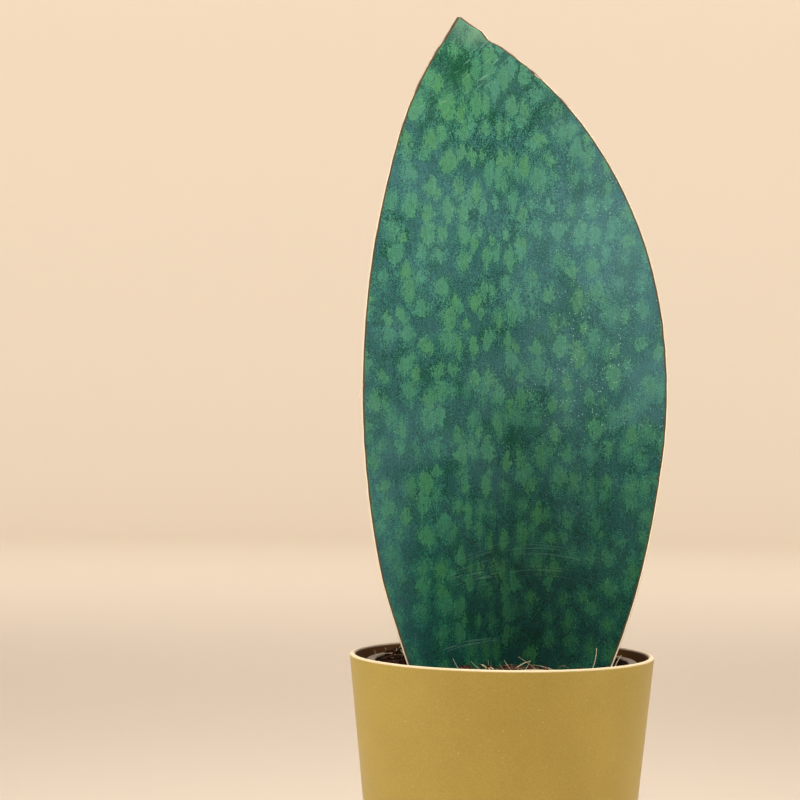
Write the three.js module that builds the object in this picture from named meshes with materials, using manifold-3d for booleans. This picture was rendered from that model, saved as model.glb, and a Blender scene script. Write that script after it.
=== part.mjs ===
// A potted whale fin sansevieria: one broad, stiff paddle leaf on its rooted rhizome, in a nursery
// pot of coir soil that stands inside a plain ochre outer pot.
//
// Sizes are millimetres. The origin is the centre of the outer pot's flat base, +Z is up, and the
// hollow face of the leaf looks along -Y.

import * as THREE from "three";
import { mergeVertices } from "three/addons/utils/BufferGeometryUtils.js";
import Module from "manifold-3d";

const wasm = await Module();
wasm.setup();

// Driving dimensions

const CLEARANCE = 0.35; // between pieces that touch
const GOLDEN_ANGLE = Math.PI * (3 - Math.sqrt(5));

const OUTER_POT = {
  rimRadius: 70,
  baseRadius: 57.5,
  height: 125,
  wall: 2.5,
  floor: 4,
  footRound: 3,
  sides: 48,
};

const NURSERY_POT = {
  rimRadius: 62.5,
  rimDrop: 3, // how far its rim stands below the outer pot's rim
  rimBand: 7, // height of the turned-down rim
  topRadius: 59.5,
  baseRadius: 46,
  wall: 1.2,
  footWidth: 9,
  footRise: 2,
  drainHoles: 8,
  drainHoleRadius: 4,
  drainCircle: 26,
  sides: 40,
};

const SOIL = {
  drop: 7, // mean depth of its surface below the outer pot's rim
  relief: 0.9,
  sides: 40,
  rings: 9,
  crumbs: 62,
  crumbRadius: { small: 1.3, large: 3.4 },
  crumbMargin: 4,
  looseStraws: 12,
  // Heaps on the surface: centre x, y, radius and height
  heaps: [
    { x: -43, y: 17, radius: 16, height: 8 },
    { x: 9, y: -13, radius: 9, height: 3.2 },
    { x: 26, y: 38, radius: 16, height: 2.5 },
  ],
};

const STRAW_RADIUS = 0.45;

const RHIZOME = { radius: 11, length: 54, height: 27, slope: 0.12 };
// The roots spread along the rhizome far more than across it
const ROOTS = { count: 7, radius: 1.8, tipRadius: 0.9, reach: 30, spread: 0.25, sides: 5, steps: 4 };

// The leaf, station by station from its buried neck to its tip: height above the outer pot's rim,
// left and right edges as seen from the hollow face, thickness at the middle, how far the edges
// curl forward of the middle, and how far the middle stands back from the pot's axis.
const LEAF_STATIONS = [
  { height: -98, left: -9, right: 15, thickness: 17, hollow: 0, back: 0 },
  { height: -80, left: -11, right: 17.5, thickness: 17, hollow: 1, back: 0 },
  { height: -58, left: -18, right: 25, thickness: 15, hollow: 5, back: 1 },
  { height: -33, left: -29, right: 36, thickness: 12, hollow: 10, back: 2.5 },
  { height: -8, left: -40.5, right: 46.9, thickness: 9, hollow: 13, back: 4 },
  { height: 10, left: -46.8, right: 53.2, thickness: 7.8, hollow: 13, back: 4.7 },
  { height: 35, left: -54.5, right: 61, thickness: 6.8, hollow: 12.5, back: 5.8 },
  { height: 70, left: -61.2, right: 68.9, thickness: 5.8, hollow: 11, back: 7.2 },
  { height: 110, left: -64.7, right: 73.8, thickness: 5, hollow: 9.2, back: 8.8 },
  { height: 150, left: -64, right: 72.4, thickness: 4.6, hollow: 7.6, back: 10.2 },
  { height: 185, left: -61, right: 65.6, thickness: 4.2, hollow: 6.1, back: 11.5 },
  { height: 215, left: -55.5, right: 54, thickness: 3.8, hollow: 4.8, back: 12.5 },
  { height: 240, left: -49.6, right: 39.5, thickness: 3.4, hollow: 3.4, back: 13.2 },
  { height: 260, left: -42.8, right: 23.3, thickness: 3, hollow: 2.2, back: 13.7 },
  { height: 275, left: -35.8, right: 7.3, thickness: 2.6, hollow: 1.2, back: 14 },
  { height: 284, left: -30.9, right: -4.9, thickness: 2.2, hollow: 0.7, back: 14.2 },
  { height: 288, left: -28, right: -9.9, thickness: 1.9, hollow: 0.5, back: 14.3 },
  { height: 291.5, left: -26, right: -13.6, thickness: 1.6, hollow: 0.3, back: 14.4 },
  { height: 297, left: -23.2, right: -21.8, thickness: 1, hollow: 0, back: 14.5 },
];
const LEAF = { steps: 2, sides: 24, edgeWave: 1.1, waveLength: 195 };

// Straws that stand up in front of the leaf and beside it: foot on the soil, tip, and sideways bow
const STRAWS = [
  { foot: [-17.5, -14], tip: [-23.5, -12, 125.3], bow: 0.4 },
  { foot: [-3, -20], tip: [-14.5, -16, 123.8], bow: 1.2 },
  { foot: [7, -17], tip: [0.5, -16, 124], bow: 0.5 },
  { foot: [19.5, -14], tip: [6.6, -15, 126.8], bow: -0.3 },
  { foot: [4, -24], tip: [13.6, -22, 125], bow: -1.4 },
  { foot: [26, -20], tip: [13.5, -13, 123.6], bow: 3 },
  { foot: [37.5, -24], tip: [42.5, -15, 129.5], bow: -2.2 },
  { foot: [50, -12], tip: [55.5, 4, 124.5], bow: 0.6 },
  { foot: [-45, 8], tip: [-56, 16, 125.2], bow: 1.6 },
  { foot: [-49, 14], tip: [-46.5, 24, 127.6], bow: 2 },
  { foot: [-46, 30], tip: [-55, 22, 125.5], bow: -1 },
];

const COLOURS = {
  ochre: 0xc6a257,
  taupe: 0x6f5a50,
  soil: 0x3a2018,
  leaf: 0x2f6b55,
};

// Small helpers

function seededRandom(seed) {
  let state = seed;
  return () => {
    state = (state + 0x6d2b79f5) | 0;
    let mixed = Math.imul(state ^ (state >>> 15), 1 | state);
    mixed = (mixed + Math.imul(mixed ^ (mixed >>> 7), 61 | mixed)) ^ mixed;
    return ((mixed ^ (mixed >>> 14)) >>> 0) / 4294967296;
  };
}

// Points of an arc in a profile, as radius and height, between two angles in degrees
function arc(radius, height, size, from, to, steps) {
  return Array.from({ length: steps + 1 }, (_, i) => {
    const angle = THREE.MathUtils.degToRad(from + ((to - from) * i) / steps);
    return [radius + size * Math.cos(angle), height + size * Math.sin(angle)];
  });
}

// A turned solid from a profile that starts and ends on the axis
function turned(profile, sides) {
  const points = profile.map(([radius, height]) => new THREE.Vector2(radius, height));
  return new THREE.LatheGeometry(points, sides).rotateX(Math.PI / 2);
}

// A round-sectioned tube along a curve
function tube(curve, radius, sides, steps) {
  const section = new THREE.Shape(
    Array.from({ length: sides }, (_, i) => {
      const angle = (2 * Math.PI * i) / sides;
      return new THREE.Vector2(radius * Math.cos(angle), radius * Math.sin(angle));
    }),
  );
  return new THREE.ExtrudeGeometry(section, { extrudePath: curve, steps, bevelEnabled: false });
}

// A closed mesh from rings of points, each ring with the same count, with flat ends
function lofted(rings) {
  const count = rings[0].length;
  const points = rings.flat();
  const faces = [];
  for (let ring = 0; ring + 1 < rings.length; ring++)
    for (let side = 0; side < count; side++) {
      const a = ring * count + side;
      const b = ring * count + ((side + 1) % count);
      faces.push(a, b, b + count, a, b + count, a + count);
    }
  for (const [start, flip] of [[0, true], [points.length - count, false]])
    for (let side = 1; side + 1 < count; side++) {
      const fan = [start, start + side, start + side + 1];
      faces.push(...(flip ? fan.reverse() : fan));
    }
  return new THREE.BufferGeometry()
    .setAttribute("position", new THREE.Float32BufferAttribute(points.flatMap((p) => p.toArray()), 3))
    .setIndex(faces);
}

function solidFrom(geometry) {
  const bare = geometry.clone();
  bare.deleteAttribute("normal");
  bare.deleteAttribute("uv");
  const merged = mergeVertices(bare, 1e-3);
  return new wasm.Manifold(
    new wasm.Mesh({
      numProp: 3,
      vertProperties: merged.attributes.position.array,
      triVerts: new Uint32Array(merged.index.array),
    }),
  );
}

function joined(geometries) {
  return geometries.map(solidFrom).reduce((whole, piece) => whole.add(piece));
}

// The geometry of a solid's one large body, without any scrap that a cut left loose
function geometryFrom(solid) {
  const body = solid.decompose().sort((a, b) => b.volume() - a.volume())[0];
  const mesh = body.getMesh();
  return new THREE.BufferGeometry()
    .setAttribute("position", new THREE.BufferAttribute(mesh.vertProperties, 3))
    .setIndex(new THREE.BufferAttribute(mesh.triVerts, 1));
}

function named(name, geometry, colour, roughness) {
  const material = new THREE.MeshStandardMaterial({ color: colour, roughness, metalness: 0 });
  const mesh = new THREE.Mesh(geometry, material);
  mesh.name = name;
  return mesh;
}

// Outer pot: a plain cone with a rounded lip, a flat base and no hole

const outerDraft = Math.atan2(OUTER_POT.rimRadius - OUTER_POT.baseRadius, OUTER_POT.height);

function outerPot() {
  const { rimRadius, baseRadius, height, wall, floor, footRound, sides } = OUTER_POT;
  const lip = wall / 2;
  const draft = THREE.MathUtils.radToDeg(outerDraft);
  const innerBase = baseRadius + floor * Math.tan(outerDraft) - wall;
  return turned(
    [
      [0, 0],
      ...arc(baseRadius - footRound, footRound, footRound, -90, -draft, 3),
      ...arc(rimRadius - lip, height - lip, lip, -draft, 180 - draft, 6),
      ...arc(innerBase - footRound, floor + footRound, footRound, -draft, -90, 3),
      [0, floor],
    ],
    sides,
  );
}

// Nursery pot: thin walls, a turned-down rim, a raised floor on a foot ring, and drain holes

const nurseryBase = OUTER_POT.floor + CLEARANCE;
const nurseryTop = OUTER_POT.height - NURSERY_POT.rimDrop;
const nurserySlope =
  (NURSERY_POT.topRadius - NURSERY_POT.baseRadius) / (nurseryTop - nurseryBase);

function nurseryInnerRadius(height) {
  return NURSERY_POT.baseRadius + (height - nurseryBase) * nurserySlope - NURSERY_POT.wall;
}

function nurseryPot() {
  const { rimRadius, rimBand, topRadius, baseRadius, wall, footWidth, footRise } = NURSERY_POT;
  const raised = nurseryBase + footRise;
  const footInside = baseRadius - footWidth;
  const innerFloor = raised + wall;
  const shell = turned(
    [
      [0, raised],
      [footInside - footRise, raised],
      [footInside, nurseryBase],
      ...arc(baseRadius - 1.5, nurseryBase + 1.5, 1.5, -90, 0, 2),
      [topRadius, nurseryTop - wall],
      [rimRadius - wall, nurseryTop - wall],
      [rimRadius - wall, nurseryTop - rimBand],
      [rimRadius, nurseryTop - rimBand],
      ...arc(rimRadius - 0.8, nurseryTop - 0.8, 0.8, 0, 90, 2),
      ...arc(topRadius - wall + 0.8, nurseryTop - 0.8, 0.8, 90, 180, 2),
      [nurseryInnerRadius(innerFloor), innerFloor],
      [0, innerFloor],
    ],
    NURSERY_POT.sides,
  );
  const { drainHoles, drainHoleRadius, drainCircle } = NURSERY_POT;
  const cutter = () => new THREE.CylinderGeometry(drainHoleRadius, drainHoleRadius, 4 * wall, 10);
  const holes = Array.from({ length: drainHoles }, (_, i) => {
    const angle = (2 * Math.PI * i) / drainHoles;
    return cutter()
      .rotateX(Math.PI / 2)
      .translate(drainCircle * Math.cos(angle), drainCircle * Math.sin(angle), raised);
  });
  holes.push(cutter().rotateX(Math.PI / 2).translate(0, 0, raised));
  return geometryFrom(holes.map(solidFrom).reduce((pot, hole) => pot.subtract(hole), solidFrom(shell)));
}

// Leaf: rings of points round each station, on a rhizome with roots

function stationAt(height) {
  const last = LEAF_STATIONS.length - 1;
  const next = LEAF_STATIONS.findIndex((station) => station.height > height);
  const i = next < 0 ? last - 1 : Math.max(next - 1, 0);
  const [before, from, to, after] = [i - 1, i, i + 1, i + 2].map(
    (k) => LEAF_STATIONS[THREE.MathUtils.clamp(k, 0, last)],
  );
  const gap = to.height - from.height;
  const t = (height - from.height) / gap;
  const cubic = (key) => {
    const startSlope = ((to[key] - before[key]) / (to.height - before.height)) * gap;
    const endSlope = ((after[key] - from[key]) / (after.height - from.height)) * gap;
    return (
      (2 * t ** 3 - 3 * t ** 2 + 1) * from[key] +
      (t ** 3 - 2 * t ** 2 + t) * startSlope +
      (3 * t ** 2 - 2 * t ** 3) * to[key] +
      (t ** 3 - t ** 2) * endSlope
    );
  };
  return Object.fromEntries(["left", "right", "thickness", "hollow", "back"].map((k) => [k, cubic(k)]));
}

function leafHeights() {
  return LEAF_STATIONS.slice(1).flatMap((station, i) => {
    const start = LEAF_STATIONS[i].height;
    const step = (station.height - start) / LEAF.steps;
    const first = i === 0 ? 0 : 1;
    return Array.from({ length: LEAF.steps + 1 - first }, (_, k) => start + step * (k + first));
  });
}

// The outside of the leaf at one height, larger all round by grow
function leafRing(height, grow) {
  const { left, right, thickness, hollow, back } = stationAt(height);
  const middle = (left + right) / 2;
  const halfWidth = (right - left) / 2 + grow;
  const halfThickness = thickness / 2 + grow;
  const ripple = Math.sin((2 * Math.PI * height) / LEAF.waveLength);
  const wave = LEAF.edgeWave * ripple * THREE.MathUtils.smoothstep(height, 0, 80);
  return Array.from({ length: LEAF.sides }, (_, i) => {
    const angle = (2 * Math.PI * i) / LEAF.sides;
    const across = Math.cos(angle);
    const curl = hollow * across ** 2 + wave * across ** 3;
    return new THREE.Vector3(
      middle + halfWidth * across,
      back - curl + halfThickness * Math.sin(angle),
      OUTER_POT.height + height,
    );
  });
}

function rhizome(grow) {
  const { radius, length, height, slope } = RHIZOME;
  const scars = 6;
  const profile = [[0, -length / 2 - grow]];
  for (let i = 0; i <= scars * 2; i++) {
    const along = (i / (scars * 2)) * 2 - 1;
    const belly = Math.sqrt(1 - (0.92 * along) ** 2);
    const scar = i % 2 ? 0.93 : 1;
    profile.push([radius * belly * scar + grow, (length / 2 - 2) * along]);
  }
  profile.push([0, length / 2 + grow]);
  return turned(profile, 14)
    .rotateY(Math.PI / 2 + slope)
    .translate(3, 0, height);
}

function rootCurve(index) {
  const turn = (2 * Math.PI * index) / ROOTS.count + 0.4;
  const reach = ROOTS.reach * (0.8 + 0.2 * Math.cos(5 * index));
  const out = new THREE.Vector3(Math.cos(turn), ROOTS.spread * Math.sin(turn), 0);
  const start = new THREE.Vector3(3 + 14 * Math.cos(turn), 2 * Math.sin(turn), RHIZOME.height);
  const middle = start.clone().addScaledVector(out, 0.55 * reach);
  const end = start.clone().addScaledVector(out, 0.8 * reach);
  middle.z += 3 * Math.sin(3 * index);
  end.z = 14 + 3 * (index % 3);
  return new THREE.QuadraticBezierCurve3(start, middle, end);
}

// One root, tapering from the rhizome to its tip
function root(index, grow) {
  const curve = rootCurve(index);
  const rings = Array.from({ length: ROOTS.steps + 1 }, (_, i) => {
    const t = i / ROOTS.steps;
    const along = curve.getTangent(t);
    const across = along.clone().cross(new THREE.Vector3(0, 0, 1)).normalize();
    const upward = across.clone().cross(along);
    const centre = curve.getPoint(t).addScaledVector(along, t === 1 ? grow : 0);
    const radius = THREE.MathUtils.lerp(ROOTS.radius, ROOTS.tipRadius, t) + grow;
    return Array.from({ length: ROOTS.sides }, (_, side) => {
      const angle = (2 * Math.PI * side) / ROOTS.sides;
      return centre
        .clone()
        .addScaledVector(upward, radius * Math.cos(angle))
        .addScaledVector(across, radius * Math.sin(angle));
    });
  });
  return lofted(rings);
}

function plant(grow = 0) {
  const roots = Array.from({ length: ROOTS.count }, (_, i) => root(i, grow));
  return joined([
    lofted(leafHeights().map((height) => leafRing(height, grow))),
    rhizome(grow),
    ...roots,
  ]);
}

// Soil: fills the nursery pot, with a heaped and lumpy top, crumbs and straws

function lump(x, y) {
  return (
    Math.sin(0.31 * x + 1.3 * Math.sin(0.17 * y)) * Math.cos(0.27 * y - 0.9 * Math.sin(0.21 * x)) +
    0.5 * Math.sin(0.73 * x - 0.4 * y + 2) * Math.cos(0.66 * y + 0.2 * x)
  );
}

function soilHeight(x, y) {
  const heaps = SOIL.heaps.reduce((sum, heap) => {
    const distance = Math.hypot(x - heap.x, y - heap.y) / heap.radius;
    return sum + heap.height * Math.exp(-(distance ** 2));
  }, 0);
  return OUTER_POT.height - SOIL.drop + heaps + SOIL.relief * lump(x, y);
}

function soilBed() {
  const floor = nurseryBase + NURSERY_POT.footRise + NURSERY_POT.wall + CLEARANCE;
  const edge = OUTER_POT.height - SOIL.drop;
  const edgeRadius = nurseryInnerRadius(edge) - CLEARANCE;
  const top = Array.from({ length: SOIL.rings }, (_, i) => [edgeRadius * (1 - (i + 0.5) / SOIL.rings), edge]);
  const bed = turned(
    [
      [0, floor],
      [nurseryInnerRadius(floor) - CLEARANCE, floor],
      [edgeRadius, edge],
      ...top,
      [0, edge],
    ],
    SOIL.sides,
  );
  const places = bed.attributes.position;
  for (let i = 0; i < places.count; i++)
    if (places.getZ(i) > edge - 0.01) {
      const [x, y] = [places.getX(i), places.getY(i)];
      const inside = THREE.MathUtils.smoothstep(edgeRadius - Math.hypot(x, y), 0, 3);
      places.setZ(i, edge + (soilHeight(x, y) - edge) * inside);
    }
  return bed;
}

// Crumbs spread evenly over the surface on a golden-angle spiral, half sunk into it
function crumbs(random) {
  const { small, large } = SOIL.crumbRadius;
  const reach = nurseryInnerRadius(OUTER_POT.height - SOIL.drop) - SOIL.crumbMargin;
  return Array.from({ length: SOIL.crumbs }, (_, i) => {
    const radius = small + (large - small) * random() ** 2;
    const turn = GOLDEN_ANGLE * i + 0.8 * random();
    const far = reach * Math.sqrt((i + random()) / SOIL.crumbs);
    const [x, y] = [far * Math.cos(turn), far * Math.sin(turn)];
    return new THREE.IcosahedronGeometry(radius, 0)
      .scale(1.25, 1, 0.75)
      .rotateX(Math.PI * random())
      .rotateZ(2 * Math.PI * random())
      .translate(x, y, soilHeight(x, y) + 0.2 * radius);
  });
}

// A straw from under the soil at its foot to its tip in the air, bowed to one side
function straw({ foot: [x, y], tip, bow }) {
  const foot = new THREE.Vector3(x, y, soilHeight(x, y) - 2.5);
  const end = new THREE.Vector3(...tip);
  const side = end.clone().sub(foot).cross(new THREE.Vector3(0, 1, 0)).normalize();
  const middle = foot.clone().lerp(end, 0.55).addScaledVector(side, 2 * bow);
  return tube(new THREE.QuadraticBezierCurve3(foot, middle, end), STRAW_RADIUS, 4, 4);
}

// Straws that lie about on the rest of the surface
function looseStraws(random) {
  return Array.from({ length: SOIL.looseStraws }, (_, i) => {
    const turn = 2 * Math.PI * ((i + random()) / SOIL.looseStraws);
    const far = 24 + 22 * random();
    const [x, y] = [far * Math.cos(turn), Math.abs(far * Math.sin(turn)) + 12];
    const heading = 2 * Math.PI * random();
    const length = 9 + 9 * random();
    const [tipX, tipY] = [x + length * Math.cos(heading), y + length * Math.sin(heading)];
    const tipFar = Math.hypot(tipX, tipY);
    const pull = Math.min(1, 52 / tipFar);
    const tip = [tipX * pull, tipY * pull, 0];
    tip[2] = soilHeight(tip[0], tip[1]) + 1 + 3 * random();
    return straw({ foot: [x * Math.min(1, 50 / far), y * 0.9], tip, bow: 2 * random() - 1 });
  });
}

function soil() {
  const random = seededRandom(29);
  const heap = joined([soilBed(), ...crumbs(random), ...STRAWS.map(straw), ...looseStraws(random)]);
  return geometryFrom(heap.subtract(plant(CLEARANCE)));
}

const pottedPlant = new THREE.Group();
pottedPlant.add(
  named("outer_pot", outerPot(), COLOURS.ochre, 0.55),
  named("nursery_pot", nurseryPot(), COLOURS.taupe, 0.5),
  named("soil", soil(), COLOURS.soil, 0.95),
  named("leaf", geometryFrom(plant()), COLOURS.leaf, 0.5),
);

export default pottedPlant;
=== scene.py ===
"""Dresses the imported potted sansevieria: two pots, soil with straws, and one broad mottled leaf."""

import math
import random

import bmesh
import bpy
from bpy.props import FloatProperty, FloatVectorProperty, IntProperty, PointerProperty
from mathutils import Matrix, Vector, noise


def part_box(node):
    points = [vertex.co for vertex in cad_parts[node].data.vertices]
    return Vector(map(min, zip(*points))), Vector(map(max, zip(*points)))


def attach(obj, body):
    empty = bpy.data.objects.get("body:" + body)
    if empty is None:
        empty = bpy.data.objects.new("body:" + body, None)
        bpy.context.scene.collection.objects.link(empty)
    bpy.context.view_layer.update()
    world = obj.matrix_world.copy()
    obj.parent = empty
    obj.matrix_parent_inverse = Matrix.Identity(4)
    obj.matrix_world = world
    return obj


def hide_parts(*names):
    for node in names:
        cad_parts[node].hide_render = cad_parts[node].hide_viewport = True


bl_info = {
    "name": "Potted Sansevieria",
    "version": (1, 0, 0),
    "blender": (4, 5, 0),
    "location": "3D View > Sidebar > Sansevieria",
    "description": "Models a potted whale fin sansevieria around its packed frame",
    "category": "Add Mesh",
}

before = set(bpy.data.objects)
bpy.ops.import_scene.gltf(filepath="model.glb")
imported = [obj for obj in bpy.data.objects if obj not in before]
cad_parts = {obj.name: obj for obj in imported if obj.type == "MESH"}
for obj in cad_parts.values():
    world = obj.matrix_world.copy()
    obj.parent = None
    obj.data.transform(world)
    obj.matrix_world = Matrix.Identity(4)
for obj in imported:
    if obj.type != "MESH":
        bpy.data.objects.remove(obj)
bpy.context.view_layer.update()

MM = 0.001
GOLDEN_ANGLE = math.pi * (3 - math.sqrt(5))

POT_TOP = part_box("outer_pot")[1]
NURSERY_FOOT, NURSERY_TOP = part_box("nursery_pot")
SOIL_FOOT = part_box("soil")[0]

# The nursery pot, in millimetres: outer radius of its wall at the foot and under the rim, height of
# the turned-down rim, and radii of the ring of drain holes and of a hole
NURSERY_BASE = 46
NURSERY_NECK = 59.5
RIM_BAND = 7
DRAIN_CIRCLE = 26
DRAIN_RADIUS = 4

# The leaf, as heights above the outer pot's rim and sizes there, in millimetres. The edges are
# where they stand left and right of the pot's axis, seen from the hollow face.
LEFT_EDGE = (
    (-98, -9), (-80, -11), (-58, -18), (-33, -29), (-8.6, -41.3), (9.4, -47.7), (34.4, -55.5),
    (69.4, -61.8), (109.4, -65.3), (149.4, -64.9), (184.4, -61.6), (214.4, -56.1), (239.4, -50.1),
    (256.9, -44.2), (275.2, -35.6), (285.5, -29.2), (295.5, -23.2),
)
RIGHT_EDGE = (
    (-98, 15), (-80, 17.5), (-58, 25), (-33, 36.2), (-8.6, 47.8), (9.4, 54.9), (34.4, 62.5),
    (69.4, 69.8), (109.4, 74.8), (149.4, 73.5), (184.4, 66.3), (214.4, 54.4), (239.4, 39.6),
    (257.6, 24.9), (270.3, 11.7), (279.8, -0.6), (285.1, -8.8), (287.4, -10.8), (289.2, -12.3),
    (291.6, -16.7), (295.5, -22.2),
)
THICKNESS = (
    (-98, 17), (-80, 17), (-58, 15), (-33, 12), (-8, 9), (10, 7.8), (35, 6.8), (70, 5.8), (110, 5),
    (185, 4.2), (240, 3.4), (275, 2.6), (291, 1.6), (297, 1),
)
HOLLOW = (
    (-98, 0), (-80, 1), (-58, 5), (-33, 10), (-8, 13), (10, 13), (35, 12.5), (70, 11), (110, 9.2),
    (185, 6.1), (240, 3.4), (275, 1.2), (297, 0),
)
BACK = (
    (-98, 0), (-80, 0), (-58, 1), (-33, 2.5), (-8, 4), (35, 5.8), (110, 8.8), (185, 11.5), (297, 14.5),
)
# A wave and a jitter along its edges, and shallow buckles in its face
EDGE_WAVE = 1.1
WAVE_LENGTH = 195
EDGE_JITTER = 0.14
BUCKLE = {"depth": 0.5, "across": 34, "along": 48}

# Where the horny margin has come away from the blade: side (-1 is left), and height, length and
# depth of the gap, in millimetres
PEELED = (
    (1, 284.4, 3.6, 0.7), (1, 268, 3.2, 1.0), (-1, 123.4, 3, 0.4), (1, 138.4, 3, 0.35),
    (1, 82.4, 1.3, 0.5),
)
# The hair of torn margin that hangs on the left: height of its root, length and sideways swing
TORN_HAIR = {"height": 123.4, "length": 24, "swing": 2.6}

# Scratches on the leaf: middle (across, back, above the rim), turn in degrees, bow, reach along and
# breadth across them, share of the swipe that stays clean, and strength; lengths in millimetres
SCRATCHES = (
    ((-11, 12, 274), 42, 0, 15, 12, 0.67, 0.45),
    ((-28, 12, 262), 30, 0, 13, 9, 0.69, 0.35),
    ((12, 6, 49), 3, 6, 42, 5, 0.57, 0.08),
    ((14, 6, 39), 3, 6, 42, 4, 0.57, 0.07),
    ((-13, 6, 37), 14, 5, 14, 5, 0.6, 0.17),
    ((-15, 4, 4.6), 12, 3, 16, 2.2, 0.5, 0.12),
)

# Heaps on the soil: centre x and y, radius and height, in millimetres
HEAPS = ((-42, 18, 12, 8.2), (5, -13, 7, 1.2), (-6, -19, 2.5, 3), (26, 38, 16, 2.5))
SOIL_DROP = 7

# Straws that stand up beside the leaf, in millimetres: foot, tip, sideways bow and radius
STRAWS = (
    ((-17.5, -14, 116), (-22.6, -12, 123.7), 0.4, 0.14),
    ((-4, -20, 118), (-14.5, -16, 123), 1.2, 0.14),
    ((-6.4, -19, 117), (-6.8, -19, 124), 0.1, 0.09),
    ((-4, -20, 118), (-10.4, -19, 122.2), 0.2, 0.12),
    ((3, -19, 117), (-1.7, -19, 122), 0.2, 0.13),
    ((7, -17, 116), (0.5, -16, 123.8), 0.5, 0.17),
    ((19.5, -14, 116), (7, -15, 125.2), -0.3, 0.13),
    ((6.2, -18, 120.6), (12.6, -18, 123.6), 0.5, 0.24),
    ((8.6, -19, 118), (12.2, -17, 123.8), -0.4, 0.15),
    ((26, -18, 116.5), (12.5, -15, 121.4), -1.6, 0.11),
    ((37.5, -24, 116), (42.5, -15, 129.5), -1.1, 0.17),
    ((50, -12, 116), (55.5, 4, 124.5), 0.6, 0.34),
    ((-47, 16, 123), (-58.3, 15, 122.3), -0.3, 0.24),
    ((-51.5, 9, 119), (-48.3, 12, 125.8), -0.5, 0.22),
    ((-49.5, 16, 122), (-45.6, 21, 126.6), 0.3, 0.2),
    ((-50.5, 20, 121), (-54, 24, 124.8), 0.2, 0.15),
    ((-56, 12, 118.5), (-58.8, 15, 124.6), 0.2, 0.15),
    ((-47.4, 7, 119.5), (-44.8, 9, 123.8), 0.2, 0.17),
    ((-43.5, 10, 121), (-51, 8, 121.6), -0.5, 0.14),
)

# The rhizome and its roots: sizes in millimetres, its slope in radians, and how far the roots
# spread across it as a share of their spread along it
RHIZOME = {"radius": 11, "length": 54, "height": 27, "slope": 0.12, "scars": 9, "shift": 3}
ROOTS = {"count": 7, "radius": 1.8, "tip": 0.9, "reach": 30, "spread": 0.25}


def srgb(red, green, blue):
    """A colour as it looks on screen, 0 to 255, in Blender's linear values."""

    def linear(value):
        value /= 255
        return value / 12.92 if value <= 0.04045 else ((value + 0.055) / 1.055) ** 2.4

    return linear(red), linear(green), linear(blue)


# Settings


def a_number(name, about, default, unit="NONE", precision=3):
    return FloatProperty(name=name, description=about, default=default, unit=unit, precision=precision)


def a_length(name, about, mm):
    return a_number(name, about, mm * MM, "LENGTH", 5)


def a_count(name, about, default, least=0):
    return IntProperty(name=name, description=about, default=default, min=least)


def a_colour(name, about, *rgb):
    return FloatVectorProperty(name=name, description=about, default=srgb(*rgb), subtype="COLOR")


class PotSettings(bpy.types.PropertyGroup):
    """The outer pot and the nursery pot."""

    wall: a_length("Wall", "Thickness of the outer pot", 2.5)
    floor: a_length("Floor", "Thickness of its floor", 4)
    base_radius: a_length("Base radius", "Where its wall meets the shelf", 57.5)
    foot_round: a_length("Foot rounding", "Radius of its lower edge", 3)
    lip_round: a_length("Lip rounding", "Radius of its upper edges", 0.9)
    ochre: a_colour("Ochre", "Colour of the outer pot", 188, 163, 79)
    taupe: a_colour("Taupe", "Colour of the nursery pot", 106, 90, 80)
    nursery_wall: a_length("Nursery wall", "Thickness of the nursery pot", 1.2)
    drain_holes: a_count("Drain holes", "Holes in a ring in the nursery pot's floor", 8, least=3)


class SoilSettings(bpy.types.PropertyGroup):
    """The soil and what lies on it."""

    crumbs: a_count("Crumbs", "Lumps on the surface", 2600)
    fibres: a_count("Fibres", "Coir fibres on the surface", 520)
    loose_straws: a_count("Loose straws", "Pale straws that lie about", 26)
    dark: a_colour("Dark soil", "Colour of the soil", 51, 29, 20)
    coir: a_colour("Coir", "Colour of its fibres", 124, 94, 66)
    straw: a_colour("Straw", "Colour of the pale straws", 226, 218, 176)


class LeafSettings(bpy.types.PropertyGroup):
    """The leaf's mesh and markings."""

    around: a_count("Around", "Faces round the blade", 112, least=16)
    along: a_count("Along", "Faces up the blade", 230, least=40)
    ground: a_colour("Ground", "Dark green between the blotches", 33, 94, 72)
    ground_foot: a_colour("Ground at the foot", "The same, low down", 0, 61, 42)
    slate: a_colour("Slate", "Blue-grey patches in the ground", 56, 110, 108)
    slate_foot: a_colour("Slate at the foot", "The same, low down", 13, 70, 62)
    halfway: a_colour("Halfway", "Blue-green round the blotches", 69, 134, 118)
    halfway_foot: a_colour("Halfway at the foot", "The same, low down", 23, 91, 73)
    blotch: a_colour("Blotch", "Light green of the blotches", 87, 153, 110)
    blotch_foot: a_colour("Blotch at the foot", "The same, low down", 46, 113, 69)
    blotch_width: a_length("Blotch width", "Across the leaf", 8.2)
    blotch_height: a_length("Blotch height", "Along the leaf", 12.5)
    margin: a_colour("Margin", "Red-brown line along the edge", 98, 64, 32)
    thread: a_colour("Margin thread", "Pale horny edge outside it", 252, 238, 204)
    thread_radius: a_length("Thread radius", "Of the horny edge", 0.33)


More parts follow.
